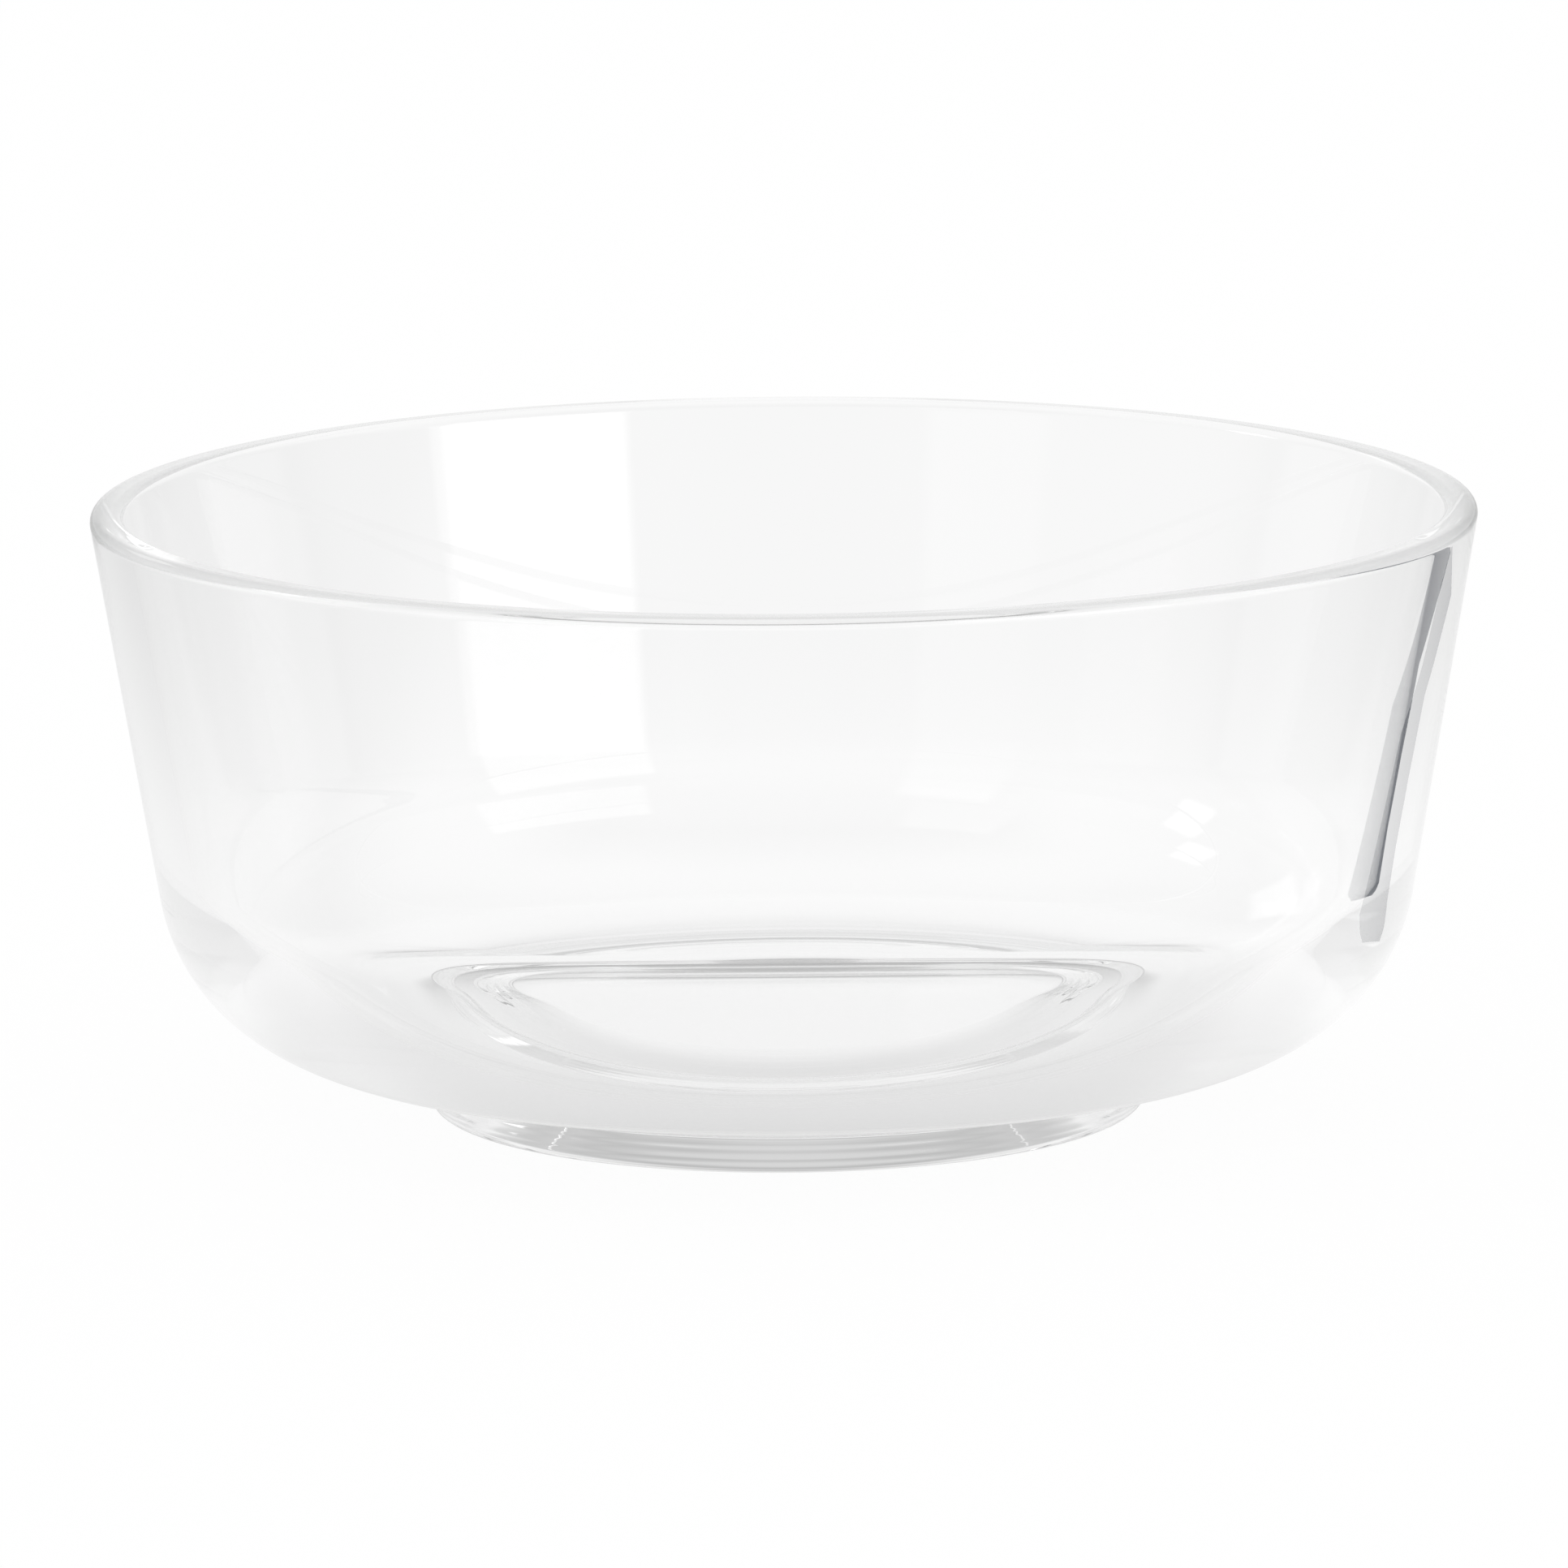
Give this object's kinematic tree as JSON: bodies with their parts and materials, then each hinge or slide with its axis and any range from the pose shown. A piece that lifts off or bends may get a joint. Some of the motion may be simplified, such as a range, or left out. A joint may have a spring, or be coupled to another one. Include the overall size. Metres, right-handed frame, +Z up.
{
  "type": "glass bowl",
  "caption": "Clear pressed-glass bowl with straight, slightly flared sides, a rounded lip and a low foot ring, for serving or mixing food.",
  "frame": {"origin": "centre of the circle on which the foot ring stands", "axes": "+Z up along the bowl's axis, towards its open mouth; the bowl is the same all round, so +X and +Y are free"},
  "size_m": [0.15, 0.15, 0.0662],
  "materials": {
    "clear_glass": "smooth fire-polished soda-lime glass, clear and nearly colourless"
  },
  "bodies": {
    "root": {"bowl": "clear_glass"}
  },
  "joints": []
}
